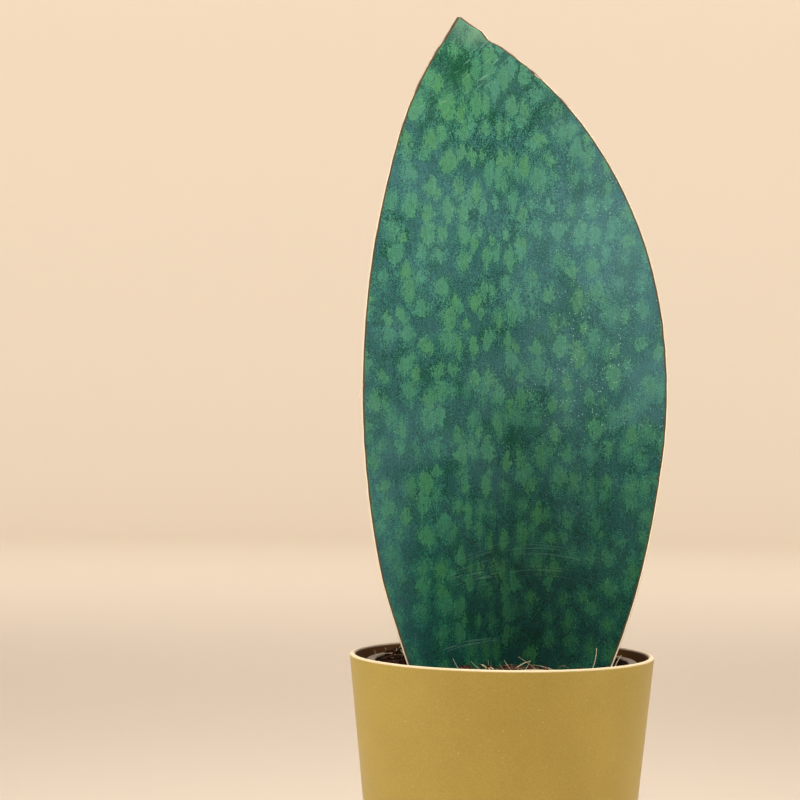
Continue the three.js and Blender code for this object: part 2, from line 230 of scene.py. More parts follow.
class StudioSettings(bpy.types.PropertyGroup):
    """Camera, backdrop and lights."""

    lens: a_number("Lens", "Focal length in millimetres", 109.8)
    distance: a_length("Distance", "From the lens to the pot's axis", 1125.2)
    left: a_length("Left", "How far the lens stands left of the axis", 48.2)
    height: a_length("Height", "Of the lens above the pot's rim", 116.45)
    roll: a_number("Roll", "How far the camera is tipped to the left", 0.0115, "ROTATION")
    backdrop: a_colour("Backdrop", "Colour of the sweep", 208, 191, 170)
    overhead: a_number("Overhead light", "Power in watts", 7.6)
    key: a_number("Left light", "Power in watts", 10.7)
    fill: a_number("Right light", "Power in watts", 6.3)
    wash: a_number("Backdrop lights", "Power in watts", 60)
    near_wash: a_number("Lights behind the camera", "Power in watts", 22)
    ambient: a_number("Ambient", "Strength of the light all round", 0.05)


# Shader building blocks


class Value:
    """One output of a shader node. Arithmetic on it adds maths nodes to the same tree."""

    def __init__(self, socket):
        self.socket = socket

    def __add__(self, other):
        return maths("ADD", self, other)

    def __sub__(self, other):
        return maths("SUBTRACT", self, other)

    def __rsub__(self, other):
        return maths("SUBTRACT", other, self)

    def __mul__(self, other):
        return maths("MULTIPLY", self, other)

    def __truediv__(self, other):
        return maths("DIVIDE", self, other)

    def __abs__(self):
        return maths("ABSOLUTE", self)


def add_node(kind, inputs=None, tree=None, **settings):
    """Adds a node beside its inputs, and returns its outputs by place and by name."""
    inputs = inputs or {}
    if tree is None:
        tree = next(value for value in inputs.values() if isinstance(value, Value)).socket.id_data
    made = tree.nodes.new(kind)
    for name, value in settings.items():
        setattr(made, name, value)
    for name, value in inputs.items():
        if isinstance(value, Value):
            tree.links.new(value.socket, made.inputs[name])
        else:
            made.inputs[name].default_value = value
    outputs = {socket.name: Value(socket) for socket in made.outputs}
    outputs.update((place, Value(socket)) for place, socket in enumerate(made.outputs))
    return outputs


def feed(node, name, value):
    """Links a value to one input of a node."""
    node.id_data.links.new(value.socket, node.inputs[name])


def maths(operation, first, second=0.0):
    return add_node("ShaderNodeMath", {0: first, 1: second}, operation=operation)[0]


def vector_maths(operation, first, second=(0, 0, 0), output="Vector"):
    return add_node("ShaderNodeVectorMath", {0: first, 1: second}, operation=operation)[output]


def split(place):
    """The X, Y and Z of a place."""
    made = add_node("ShaderNodeSeparateXYZ", {0: place})
    return made[0], made[1], made[2]


def joined(x, y):
    """A place from its X and Y, at Z = 0."""
    return add_node("ShaderNodeCombineXYZ", {0: x, 1: y})[0]


def split_colour(colour):
    made = add_node("ShaderNodeSeparateColor", {"Color": colour})
    return made[0], made[1], made[2]


def mix(factor, first, second, blend="MIX"):
    """Two colours mixed; a colour is a value or three numbers."""
    sides = [c if isinstance(c, Value) else (*c, 1) for c in (first, second)]
    inputs = {0: factor, 6: sides[0], 7: sides[1]}
    return add_node("ShaderNodeMix", inputs, data_type="RGBA", blend_type=blend)[2]


def toned(colour, tone):
    """A colour made darker or lighter by a value."""
    grey = add_node("ShaderNodeCombineColor", {0: tone, 1: tone, 2: tone})[0]
    return mix(1.0, colour, grey, "MULTIPLY")


def tinted(colour, factor):
    """Three numbers of a colour, made darker or lighter."""
    return [part * factor for part in colour]


def fade(value, low, high, start=0.0, end=1.0, shape="SMOOTHSTEP"):
    """start up to low, end from high on, and between them a smooth or a LINEAR change."""
    inputs = {"Value": value, "From Min": low, "From Max": high, "To Min": start, "To Max": end}
    return add_node("ShaderNodeMapRange", inputs, interpolation_type=shape)[0]


def noise_of(place, size, detail=2.0, roughness=0.5, output="Fac"):
    """Noise whose features are about size, or size = (x, y, z), in millimetres."""
    sides = size if isinstance(size, tuple) else (size, size, size)
    scale = tuple(1 / (side * MM) for side in sides)
    scaled = add_node("ShaderNodeMapping", {"Vector": place, "Scale": scale})[0]
    inputs = {"Vector": scaled, "Scale": 1, "Detail": detail, "Roughness": roughness}
    return add_node("ShaderNodeTexNoise", inputs)[output]


def new_group(name, inputs, outputs):
    """An empty shader group: returns it, its inputs as values and its end node."""
    tree = bpy.data.node_groups.new(name, "ShaderNodeTree")
    for label, kind, default in inputs:
        socket = tree.interface.new_socket(label, in_out="INPUT", socket_type=f"NodeSocket{kind}")
        if default is not None:
            socket.default_value = default
    for label in outputs:
        tree.interface.new_socket(label, in_out="OUTPUT", socket_type="NodeSocketFloat")
    return tree, add_node("NodeGroupInput", tree=tree), tree.nodes.new("NodeGroupOutput")


def grain_group():
    """Fine even grain for moulded and earthy surfaces, and scattered specks in it."""
    tree, given, result = new_group(
        "Fine grain",
        [
            ("Vector", "Vector", None), ("Grain", "Float", 2500.0), ("Specks", "Float", 900.0),
            ("Share", "Float", 0.1),
        ],
        ["Height", "Specks"],
    )
    place = given["Vector"]
    fine = add_node("ShaderNodeTexNoise", {"Vector": place, "Scale": given["Grain"], "Detail": 2})
    cells = add_node("ShaderNodeTexVoronoi", {"Vector": place, "Scale": given["Specks"]})
    luck, _, _ = split_colour(cells["Color"])
    chosen = maths("LESS_THAN", luck, given["Share"])
    feed(result, "Height", fine["Fac"])
    feed(result, "Specks", chosen * fade(cells["Distance"], 0.16, 0.34, 1, 0))
    return tree


def scratch_group():
    """Faint scratches side by side, bowed like the swipe that made them."""
    tree, given, result = new_group(
        "Scratches",
        [
            ("Vector", "Vector", None), ("Centre", "Vector", (0, 0, 0)), ("Turn", "Float", 0.0),
            ("Bow", "Float", 0.0), ("Reach", "Float", 0.02), ("Breadth", "Float", 0.01),
            ("Share", "Float", 0.62),
        ],
        ["Mask"],
    )
    offset = vector_maths("SUBTRACT", given["Vector"], given["Centre"])
    inputs = {"Vector": offset, "Angle": given["Turn"]}
    along, _, over = split(add_node("ShaderNodeVectorRotate", inputs, rotation_type="Y_AXIS")[0])
    over = over + along * along * given["Bow"]
    # These places are shares of the reach and counts of lines, so 1000 stands for one
    stretched = joined(along / given["Reach"], over / (0.8 * MM))
    lines = noise_of(stretched, (700, 1000, 1000), detail=0)
    mask = fade(lines, given["Share"], given["Share"] + 0.06, shape="LINEAR")
    ends = fade(abs(along / given["Reach"]), 0.5, 1, 1, 0)
    sides = fade(abs(over / given["Breadth"]), 0.5, 1, 1, 0)
    feed(result, "Mask", mask * (ends * sides))
    return tree


GROUPS = {"Fine grain": grain_group, "Scratches": scratch_group}


def use_group(name, place, **inputs):
    """Adds a shader group, which is made when it is first asked for."""
    group = bpy.data.node_groups.get(name) or GROUPS[name]()
    return add_node("ShaderNodeGroup", {"Vector": place, **inputs}, node_tree=group)


def new_material(name, roughness, specular=0.5):
    """A material with a Principled shader: returns it, the shader and Object coordinates."""
    material = bpy.data.materials.new(name)
    material.use_nodes = True
    shader = material.node_tree.nodes["Principled BSDF"]
    shader.inputs["Roughness"].default_value = roughness
    shader.inputs["Specular IOR Level"].default_value = specular
    return material, shader, add_node("ShaderNodeTexCoord", tree=material.node_tree)["Object"]


def bump(shader, height, distance, strength=1.0):
    """Feeds a height to the shader's normal, over any bump that is there; distance is in mm."""
    inputs = {"Height": height, "Distance": distance * MM, "Strength": strength}
    for link in shader.inputs["Normal"].links:
        inputs["Normal"] = Value(link.from_socket)
    feed(shader, "Normal", add_node("ShaderNodeBump", inputs)["Normal"])


# Materials


def ochre_material(settings):
    """Matte ochre with fine darker and lighter specks, slightly cloudy; painted shade inside the pot
    and a painted highlight along its lip.
    """
    material, shader, place = new_material("ochre_pot", 0.4, 0.3)
    fine = use_group("Fine grain", place, Grain=1500.0, Specks=850.0, Share=0.12)
    pale = use_group("Fine grain", place, Grain=600.0, Specks=520.0, Share=0.05)
    cloud = noise_of(place, 40, detail=3)
    ochre = settings.ochre
    shade = mix(fade(cloud, 0.3, 0.7), tinted(ochre, 0.95), tinted(ochre, 1.04))
    shade = mix(fine["Specks"] * 0.16, shade, tinted(ochre, 0.55))
    shade = mix(pale["Specks"] * 0.16, shade, srgb(240, 222, 170))
    shade = toned(shade, fade(fine["Height"], 0.3, 0.7, 0.93, 1.05))
    # Painted shade: inside the pot the ochre turns deep brown and rougher
    east, north, height = split(place)
    radius = vector_maths("LENGTH", joined(east, north), output="Value")
    outside = fade(height, 0, POT_TOP.z, settings.base_radius, POT_TOP.x, shape="LINEAR")
    inside = fade(outside - radius, settings.wall * 0.6, settings.wall * 0.9, 0, 0.97)
    shade = mix(inside, shade, srgb(98, 54, 0))
    # Painted highlight: a pale cream band along the top of the lip
    lip = fade(height, POT_TOP.z - 1.2 * MM, POT_TOP.z - 0.4 * MM, 0, 0.5)
    feed(shader, "Base Color", mix(lip, shade, srgb(255, 234, 210)))
    feed(shader, "Roughness", inside * 0.3 + fade(cloud, 0.3, 0.7, 0.36, 0.44))
    bump(shader, fine["Height"], 0.05, 0.5)
    return material


def taupe_material(settings):
    """Thin formed plastic with a soft sheen, a little dusty, darker and rougher below its rim."""
    material, shader, place = new_material("taupe_plastic", 0.36, 0.2)
    fine = use_group("Fine grain", place, Grain=900.0, Specks=420.0, Share=0.3)
    dust = noise_of(place, 9, detail=4, roughness=0.65)
    shade = mix(fade(dust, 0.5, 0.72, 0, 0.3), settings.taupe, srgb(150, 128, 108))
    shade = mix(fine["Specks"] * 0.5, shade, srgb(60, 38, 28))
    _, _, height = split(place)
    # The wall below the rim is darkened to near-black brown and made rougher
    darkened_below_rim = fade(height, NURSERY_TOP.z - 0.9 * MM, NURSERY_TOP.z - 0.4 * MM, 0.92, 0)
    feed(shader, "Base Color", mix(darkened_below_rim, shade, srgb(44, 22, 14)))
    feed(shader, "Roughness", fade(dust, 0.4, 0.7, 0.3, 0.55) + darkened_below_rim * 0.4)
    bump(shader, fine["Height"], 0.04, 0.4)
    return material


def soil_material(settings):
    """Damp coir and peat: near-black, with red-brown crumbs and pale dust on top."""
    material, shader, place = new_material("coir_soil", 0.9, 0.04)
    fine = use_group("Fine grain", place, Grain=1100.0, Specks=480.0, Share=0.2)
    lumps = noise_of(place, 5, detail=4, roughness=0.6)
    dark = settings.dark
    shade = mix(fade(lumps, 0.35, 0.65), tinted(dark, 0.2), tinted(dark, 1.5))
    shade = mix(fade(noise_of(place, 1.3), 0.52, 0.7, 0, 0.8), shade, tinted(dark, 6))
    feed(shader, "Base Color", mix(fine["Specks"] * 0.6, shade, srgb(140, 96, 66)))
    bump(shader, fine["Height"], 0.5)
    bump(shader, lumps, 0.8, 0.6)
    return material


def fibre_material(name, colour, dark, roughness):
    """Dry plant fibre with streaks along its run and darker stretches."""
    material, shader, place = new_material(name, roughness, 0.35)
    streaks = noise_of(place, 0.5)
    shade = mix(fade(noise_of(place, 6, detail=3), 0.35, 0.68), dark, colour)
    feed(shader, "Base Color", mix(fade(streaks, 0.3, 0.7, 0, 0.25), shade, tinted(colour, 0.5)))
    bump(shader, streaks, 0.06)
    return material


def rhizome_material():
    """Orange-brown skin of the rhizome and its roots, with paler patches."""
    material, shader, place = new_material("rhizome_skin", 0.6)
    patches = noise_of(place, 7, detail=4)
    feed(shader, "Base Color", mix(fade(patches, 0.35, 0.65), srgb(176, 112, 62), srgb(214, 176, 122)))
    bump(shader, patches, 0.5)
    return material


def leaf_material(settings):
    """Waxy skin with ragged light blotches on blue-green, dark towards its foot, partly its own colour
    and partly painted shade, with a painted bluish sheen.
    """
    material, shader, place = new_material("leaf_skin", 0.42, 0.15)
    across, _, height = split(place)
    rim = POT_TOP.z

    def attribute(name):
        return add_node("ShaderNodeAttribute", tree=material.node_tree, attribute_name=name)["Fac"]

    def above_rim(x, y, z):
        return x * MM, y * MM, rim + z * MM

    def upwards(low, high, start=0.0, end=1.0):
        """Fades up the leaf between two heights above the rim, in mm."""
        return fade(height, rim + low * MM, rim + high * MM, start, end)

    def rightwards(low, high, start=0.0, end=1.0):
        """Fades from left to right between two distances from the pot's axis, in mm."""
        return fade(across, low * MM, high * MM, start, end)

    # The back has its own pattern
    back = attribute("back_face")
    place = vector_maths("ADD", place, joined(0.0, back * (60 * MM)))

    # Blotches: cells taller than wide, with ragged fibrous edges
    drift = noise_of(place, (11, 8, 15), detail=1, output="Color")
    drift = vector_maths("SUBTRACT", drift, (0.5, 0.5, 0.5))
    drift = vector_maths("MULTIPLY", drift, (6 * MM, 0, 8 * MM))
    east, _, up = split(vector_maths("ADD", place, drift))
    east = (east + back * (400 * MM)) / settings.blotch_width + rightwards(-26, 12, 0, 1.6)
    spread = {"Scale": 1, "Randomness": 0.85, "Exponent": 1.4, "Smoothness": 0.2}
    cells = add_node(
        "ShaderNodeTexVoronoi", {"Vector": joined(east, up / settings.blotch_height), **spread},
        voronoi_dimensions="2D", distance="MINKOWSKI", feature="SMOOTH_F1",
    )
    luck, tint, vague = split_colour(cells["Color"])
    lumps = noise_of(place, (2.8, 9, 4.4))
    ragged = noise_of(place, (1, 6, 2.4), detail=3, roughness=0.7)
    speckle = noise_of(place, (0.5, 1.5, 0.55), detail=1, roughness=0.6)
    centred = speckle - 0.5

    # They are crisp high up, and fade towards the foot, the right edge and the lower left
    sideways = rightwards(-5, 50, 0, 0.42) + rightwards(-48, -12, 0.4, 0) * upwards(30, 110, 1, 0)
    wander = fade(noise_of(place, (26, 26, 34), detail=1), 0.35, 0.65, -0.2, 0.2)
    haze = upwards(20, 200, 0.58, 0) + sideways + wander + fade(vague, 0.2, 0.9, -0.4, 0.3)
    haze = fade(haze, 0, 1)
    field = cells["Distance"] * -1.0 + luck * 0.24 + lumps * 0.42 + ragged * 0.85
    field = field + upwards(245, 275, 0, 0.08)
    dotted = field + centred * fade(haze, 0, 1, 0.35, 0.9)
    dusted = field + centred * 0.9
    middle = 0.375
    halfway = fade(dusted, middle - 0.38, middle - 0.02)
    blotch = fade(dotted, middle - 0.03, fade(haze, 0, 1, middle + 0.06, middle + 0.28))

    # Colours, each from its tint high up to its darker tint at the foot; the darkening is partly the
    # leaf's own colour and partly painted shade
    low = upwards(-10, 210, 1, 0)

    def between(name):
        return mix(low, getattr(settings, name), getattr(settings, name + "_foot"))

    patches = noise_of(place, (9, 14, 14), detail=3) + centred * 0.8
    patches = patches - fade(dotted, middle - 0.2, middle, 0, 0.16) - upwards(210, 265, 0, 0.24)
    ground = mix(fade(patches, 0.28, 0.5), between("ground"), between("slate"))
    light = between("blotch")
    bluer = mix(1.0, light, (0.86, 0.94, 1.3), "MULTIPLY")
    cloudy = fade(noise_of(place, (13, 20, 17)), 0.36, 0.56, 0.2, 0.95)
    colour = mix(halfway * cloudy, ground, between("halfway"))
    colour = mix(blotch * fade(haze, 0, 1, 0.97, 0.75), colour, mix(tint, light, bluer))

    # Fine speckle, streaks along the leaf, and painted shade, with some of the leaf's own darkening, in
    # the hollow at its foot and on its right side low down
    streaks = noise_of(place, (0.8, 5, 22))
    fine = centred * (fade(blotch, 0.3, 1, 1, 0.65) * 2.3) + (ragged - 0.5) * 0.8
    tone = (fine + 1.0) * fade(streaks, 0.3, 0.7, 0.88, 1.0)
    # Painted shade: darker in the middle of the hollow and on the right, low down
    hollow = fade(abs(across - 14 * MM), 5 * MM, 50 * MM, 0.45, 0)
    shade = hollow * low + rightwards(20, 60, 0, 0.25) * low
    colour = toned(colour, tone * (1.0 - shade))

    # Painted sheen: a bluish reflection, most on the right high up and on the left low down; pale
    # drifts high up in the same colour
    right = rightwards(0, 65, 0, 0.2) * upwards(70, 200)
    left = rightwards(-62, -30, 0.13, 0) * low
    drifts = fade(noise_of(place, (38, 40, 30)), 0.42, 0.62, 0, 0.08) * fade(low, 0.4, 1, 1, 0)
    colour = mix(right + left + drifts, colour, srgb(130, 182, 200))

    # The greener, worn tip: middle, reach in mm, strength, and the colour and how it is laid on
    worn_places = (
        ((-27, 12, 268), 34, 1.0, (0.92, 1.03, 0.84), "MULTIPLY"),
        ((-19, 12, 290), 12, 0.25, srgb(138, 168, 140), "MIX"),
        ((-13, 12, 287), 7, 0.42, srgb(130, 168, 140), "MIX"),
    )
    for centre, reach, strength, hue, blend in worn_places:
        away = vector_maths("DISTANCE", place, above_rim(*centre), output="Value")
        away = away + (lumps - 0.5) * (8 * MM)
        colour = mix(fade(away, 0.3 * reach * MM, reach * MM, strength, 0), colour, hue, blend)

    # Dust specks, mostly on the right, and scratches near the tip and across the foot
    dust = use_group("Fine grain", place, Grain=900.0, Specks=1100.0, Share=0.13)
    dusty = fade(noise_of(place, (17, 20, 22)), 0.34, 0.6, 0.25, 1) * rightwards(-10, 40, 0.12, 0.9)
    dusty = dusty * upwards(50, 140, 0.15, 1)
    colour = mix(dust["Specks"] * dusty, colour, srgb(176, 212, 206))
    for centre, turn, bow, reach, breadth, share, strength in SCRATCHES:
        scratched = use_group(
            "Scratches", place, Centre=above_rim(*centre), Turn=math.radians(turn), Bow=bow,
            Reach=reach * MM, Breadth=breadth * MM, Share=share,
        )
        colour = mix(scratched["Mask"] * strength, colour, srgb(150, 200, 178))

    # The red-brown line just inside the edge
    edge = attribute("edge_distance") - noise_of(place, (2, 4, 5)) * (0.5 * MM)
    colour = mix(fade(edge, 0.3 * MM, 1.0 * MM, 0.85, 0), colour, settings.margin)
    feed(shader, "Base Color", colour)
    feed(shader, "Roughness", fade(blotch, 0, 1, 0.46, 0.38))
    bump(shader, streaks, 0.12, 0.5)
    bump(shader, speckle, 0.03, 0.5)
    return material


def thread_material(settings):
    """The horny margin: red-brown high up, pale and papery towards the foot."""
    material, shader, place = new_material("leaf_margin", 0.45)
    _, _, height = split(place)
    pale = fade(height, POT_TOP.z + 190 * MM, POT_TOP.z + 290 * MM, 0.75, 0.15)
    pale = pale + noise_of(place, 9, detail=3)
    shade = mix(fade(pale, 0.5, 0.9), settings.margin, settings.thread)
    feed(shader, "Base Color", shade)
    return material


# Shape building blocks


def polar(far, turn):
    """X and Y of a place by its distance and its bearing."""
    return far * math.cos(turn), far * math.sin(turn)


def arc(radius, height, size, start, end, steps):
    """Points of an arc in a profile, as radius and height, between two angles in degrees."""
    angles = [math.radians(start + (end - start) * i / steps) for i in range(steps + 1)]
    return [(radius + size * math.cos(a), height + size * math.sin(a)) for a in angles]


def turned(profile, steps):
    """A closed solid: a profile of radius and height, from the axis and back to it, spun round."""
    bm = bmesh.new()
    verts = [bm.verts.new((radius, 0, height)) for radius, height in profile]
    edges = [bm.edges.new(pair) for pair in zip(verts, verts[1:])]
    bmesh.ops.spin(
        bm, geom=verts + edges, cent=(0, 0, 0), axis=(0, 0, 1), angle=2 * math.pi, steps=steps,
        use_merge=True,
    )
    bmesh.ops.remove_doubles(bm, verts=bm.verts, dist=0.001 * MM)
    bmesh.ops.recalc_face_normals(bm, faces=bm.faces)
    return bm


def as_mesh(name, bm):
    mesh = bpy.data.meshes.new(name)
    bm.to_mesh(mesh)
    bm.free()
    return mesh


def placed(name, data):
    thing = bpy.data.objects.new(name, data)
    bpy.context.scene.collection.objects.link(thing)
    return thing


def finished(name, bm, material, replaced=(), sharp=40):
    """Makes a bmesh into a piece of the plant, smooth but for its sharp edges, on the frame."""
    for face in bm.faces:
        face.smooth = True
    for edge in bm.edges:
        edge.smooth = edge.calc_face_angle(0) < math.radians(sharp)
    piece = placed(name, as_mesh(name, bm))
    piece.data.materials.append(material)
    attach(piece, "root")
    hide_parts(*replaced)
    return piece


def cut_away(piece, cutter_meshes):
    """Cuts each closed mesh out of a piece and keeps the result."""
    for mesh in cutter_meshes:
        cutter = placed("cutter", mesh)
        boolean = piece.modifiers.new("cut", "BOOLEAN")
        boolean.operation = "DIFFERENCE"
        boolean.solver = "EXACT"
        boolean.object = cutter
        bpy.context.view_layer.update()
        evaluated = piece.evaluated_get(bpy.context.evaluated_depsgraph_get())
        result = bpy.data.meshes.new_from_object(evaluated)
        piece.modifiers.clear()
        piece.data = result
        bpy.data.objects.remove(cutter)


def tube_template(sides, steps):
    """A closed tube of radius 1 up the Z axis from 0 to 1, cut across in steps."""
    bm = bmesh.new()
    bmesh.ops.create_cone(bm, cap_ends=True, segments=sides, radius1=1, radius2=1, depth=1)
    bmesh.ops.translate(bm, verts=bm.verts, vec=(0, 0, 0.5))
    upright = [e for e in bm.edges if abs(e.verts[0].co.z - e.verts[1].co.z) > 0.5]
    bmesh.ops.subdivide_edges(bm, edges=upright, cuts=steps - 1)
    return as_mesh("tube", bm)


def lay_tube(bm, template, route, radius, tip):
    """Adds a tube along a route of points, one for each ring of the template.

    Nothing may have been deleted from bm, so that the new vertices are its last ones.
    """
    start, steps = len(bm.verts), len(route) - 1
    bm.from_mesh(template)
    bm.verts.ensure_lookup_table()
    off_every_route = Vector((0.12, 0.2, 1))
    for vert in bm.verts[start:]:
        ring = min(max(round(vert.co.z * steps), 0), steps)
        along = (route[min(ring + 1, steps)] - route[max(ring - 1, 0)]).normalized()
        side = along.cross(off_every_route).normalized()
        over = side.cross(along)
        thick = radius + (tip - radius) * ring / steps
        vert.co = route[ring] + (over * vert.co.x + side * vert.co.y) * thick


def curve(start, middle, end, steps):
    """Points from start to end, drawn towards middle."""
    shares = [i / steps for i in range(steps + 1)]
    return [start * (1 - t) ** 2 + middle * 2 * t * (1 - t) + end * t**2 for t in shares]


def bowed(foot, end, bow, steps):
    """A route from foot to end, bowed sideways."""
    side = (end - foot).cross(Vector((0, 1, 0))).normalized()
    return curve(foot, foot.lerp(end, 0.55) + side * bow, end, steps)


# The leaf's form


def smooth_value(points, at):
    """A smooth curve through points of (place, value), read at one place."""
    last = len(points) - 1
    i = next((k for k in range(last) if points[k + 1][0] > at), last - 1)
    (x0, y0), (x1, y1) = points[i], points[i + 1]
    before, after = points[max(i - 1, 0)], points[min(i + 2, last)]
    gap = x1 - x0
    t = min(max((at - x0) / gap, 0), 1)
    start = (y1 - before[1]) / (x1 - before[0]) * gap
    end = (after[1] - y0) / (after[0] - x0) * gap
    return (
        (2 * t**3 - 3 * t**2 + 1) * y0
        + (t**3 - 2 * t**2 + t) * start
        + (3 * t**2 - 2 * t**3) * y1
        + (t**3 - t**2) * end
    )


def leaf_section(height):
    """Left and right edge, thickness, hollow and back of the leaf at a height above the rim, in mm."""
    return [smooth_value(points, height) for points in (LEFT_EDGE, RIGHT_EDGE, THICKNESS, HOLLOW, BACK)]


def smoothstep(value, low, high):
    t = min(max((value - low) / (high - low), 0), 1)
    return t * t * (3 - 2 * t)


def blade_middle(height, across):
    """Depth of the middle of the blade, in mm, across it from -1 to 1."""
    _, _, _, hollow, back = leaf_section(height)
    wave = EDGE_WAVE * math.sin(2 * math.pi * height / WAVE_LENGTH) * smoothstep(height, 0, 80)
    return back - hollow * across**2 - wave * across**3


def edge_jitter(side, height):
    """How far the edge strays from its smooth line, in mm."""
    return EDGE_JITTER * noise.noise(Vector((side * 9, height * 0.16, 0)))


def edge_place(side, height):
    """Where the leaf's edge stands at a height above the rim, in metres; side is -1 or 1."""
    left, right, *_ = leaf_section(height)
    across = (right if side > 0 else left) + side * edge_jitter(side, height)
    return Vector((across, blade_middle(height, side), POT_TOP.z / MM + height)) * MM


def peel_depth(side, height):
    """How far the blade has drawn back from its margin, in mm."""
    return sum(
        depth * max(0, 1 - ((height - at) / (length / 2)) ** 2)
        for peeled, at, length, depth in PEELED
        if peeled == side
    )


def blade_mesh(around, along, grow=0.0, top=LEFT_EDGE[-1][0]):
    """The closed blade from its buried neck to its tip, or to top, grown all round, both in mm."""
    low = LEFT_EDGE[0][0]
    bm = bmesh.new()
    bmesh.ops.create_grid(bm, x_segments=around, y_segments=along, size=1)
    edge_layer = bm.verts.layers.float.new("edge_distance")
    back_layer = bm.verts.layers.float.new("back_face")
    for vert in bm.verts:
        angle = math.pi * (vert.co.x + 1)
        # The rows lie closer together towards the tip
        height = low + (top - low) * (1 - (1 - (vert.co.y + 1) / 2) ** 1.25)
        left, right, thickness, _, _ = leaf_section(height)
        across = math.cos(angle)
        side = 1 if across > 0 else -1
        half = (right - left) / 2 + grow
        place = (left + right) / 2 + half * across
        near = half * (1 - abs(across))
        peel = 0 if grow else peel_depth(side, height)
        place -= side * peel * smoothstep(near, 6, 0)
        place += side * edge_jitter(side, height) * across**2
        buckle = noise.noise(Vector((place / BUCKLE["across"], height / BUCKLE["along"], 3.1)))
        buckle = BUCKLE["depth"] * buckle * smoothstep(height, 0, 60)
        depth = blade_middle(height, across) + buckle * (1 - across**4)
        depth += (thickness / 2 + grow) * math.sin(angle)
        vert[edge_layer] = near * MM
        vert[back_layer] = smoothstep(math.sin(angle), -0.1, 0.1)
        vert.co = Vector((place, depth, POT_TOP.z / MM + height)) * MM
    bmesh.ops.remove_doubles(bm, verts=bm.verts, dist=0.01 * MM)
    bmesh.ops.holes_fill(bm, edges=[e for e in bm.edges if e.is_boundary])
    bmesh.ops.recalc_face_normals(bm, faces=bm.faces)
    return bm


def in_leaf(place, margin):
    """True where a point, in metres, is inside the leaf or within margin of it, in mm."""
    height = (place.z - POT_TOP.z) / MM
    left, right, thickness, *_ = leaf_section(height)
    across = (place.x / MM - (left + right) / 2) / ((right - left) / 2 + margin)
    if abs(across) > 1:
        return False
    off = abs(place.y / MM - blade_middle(height, across))
    return off < thickness / 2 * math.sqrt(1 - across**2) + margin


def rhizome_mesh(grow=0.0):
    """The ringed rhizome across the pot, grown by mm."""
    radius, length = RHIZOME["radius"], RHIZOME["length"]
    steps_per_scar = 6
    steps = RHIZOME["scars"] * steps_per_scar
    profile = [(0, -(length / 2 + grow) * MM)]
    for i in range(steps + 1):
        along = i / steps * 2 - 1
        ring = 0.965 + 0.035 * math.cos(i * 2 * math.pi / steps_per_scar)
        belly = math.sqrt(1 - (0.92 * along) ** 2)
        profile.append(((radius * belly * ring + grow) * MM, (length / 2 - 2) * along * MM))
    profile.append((0, (length / 2 + grow) * MM))
    bm = turned(profile, 40)
    tilt = Matrix.Rotation(math.pi / 2 + RHIZOME["slope"], 4, "Y")
    shift = Matrix.Translation(Vector((RHIZOME["shift"], 0, RHIZOME["height"])) * MM)
    bmesh.ops.transform(bm, matrix=shift @ tilt, verts=bm.verts)
    return bm


def root_route(index, steps):
    """The run of one root, from inside the rhizome to its tip."""
    turn = 2 * math.pi * index / ROOTS["count"] + 0.4
    reach = ROOTS["reach"] * (0.8 + 0.2 * math.cos(5 * index))
    out = Vector((math.cos(turn), ROOTS["spread"] * math.sin(turn), 0))
    start = Vector((RHIZOME["shift"] + 14 * math.cos(turn), 2 * math.sin(turn), RHIZOME["height"]))
    middle = start + out * 0.55 * reach + Vector((0, 0, 3 * math.sin(3 * index)))
    end = start + out * 0.8 * reach
    end.z = 14 + 3 * (index % 3)
    return [point * MM for point in curve(start, middle, end, steps)]


def lay_roots(bm, numbers, steps, grow=0.0):
    """Adds the roots of these numbers, grown by mm."""
    template = tube_template(8, steps)
    radius, tip = (ROOTS["radius"] + grow) * MM, (ROOTS["tip"] + grow) * MM
    for index in numbers:
        lay_tube(bm, template, root_route(index, steps), radius, tip)


# The soil's form


def soil_height(x, y):
    """Height of the soil's surface at a place, all in metres."""
    heaps = sum(
        tall * math.exp(-((x / MM - at_x) ** 2 + (y / MM - at_y) ** 2) / radius**2)
        for at_x, at_y, radius, tall in HEAPS
    )
    here = Vector((x, y, 0)) / MM
    rough = 1.3 * noise.noise(here / 13) + 0.8 * noise.noise(here / 5) + 0.45 * noise.noise(here / 2.1)
    return POT_TOP.z + (heaps + rough - SOIL_DROP) * MM


def on_soil(x, y, lift=0.0):
    return Vector((x, y, soil_height(x, y) + lift))


def nursery_inside(height, settings):
    """Inner radius of the nursery pot at a height, in metres."""
    foot, top = NURSERY_FOOT.z, NURSERY_TOP.z
    slope = (NURSERY_NECK - NURSERY_BASE) * MM / (top - foot)
    return NURSERY_BASE * MM + (height - foot) * slope - settings.nursery_wall


# Operators


class PlantOperator:
    """What every operator here shares."""

    bl_options = {"REGISTER", "UNDO"}


class SANSEVIERIA_OT_outer_pot(PlantOperator, bpy.types.Operator):
    """Turn the ochre outer pot"""

    bl_idname = "sansevieria.outer_pot"
    bl_label = "Outer Pot"

    def execute(self, context):
        s = context.scene.sansevieria_pot
        top, rim = POT_TOP.z, POT_TOP.x
        draft = math.atan2(rim - s.base_radius, top)
        slope = math.degrees(draft)
        lip, foot = s.lip_round, s.foot_round
        inner_base = s.base_radius + s.floor * math.tan(draft) - s.wall
        recess, recess_radius, ring_radius = 0.6 * MM, s.base_radius * 0.78, s.base_radius * 0.8
        profile = [
            (0, recess),
            (recess_radius, recess),
            (ring_radius, 0),
            *arc(s.base_radius - foot, foot, foot, -90, -slope, 10),
            *arc(rim - lip, top - lip, lip, -slope, 90, 12),
            *arc(rim - s.wall + lip, top - lip, lip, 90, 180 - slope, 12),
            *arc(inner_base - foot, s.floor + foot, foot, -slope, -90, 8),
            (0, s.floor),
        ]
        finished("pot_shell", turned(profile, 192), ochre_material(s), ["outer_pot"])
        return {"FINISHED"}


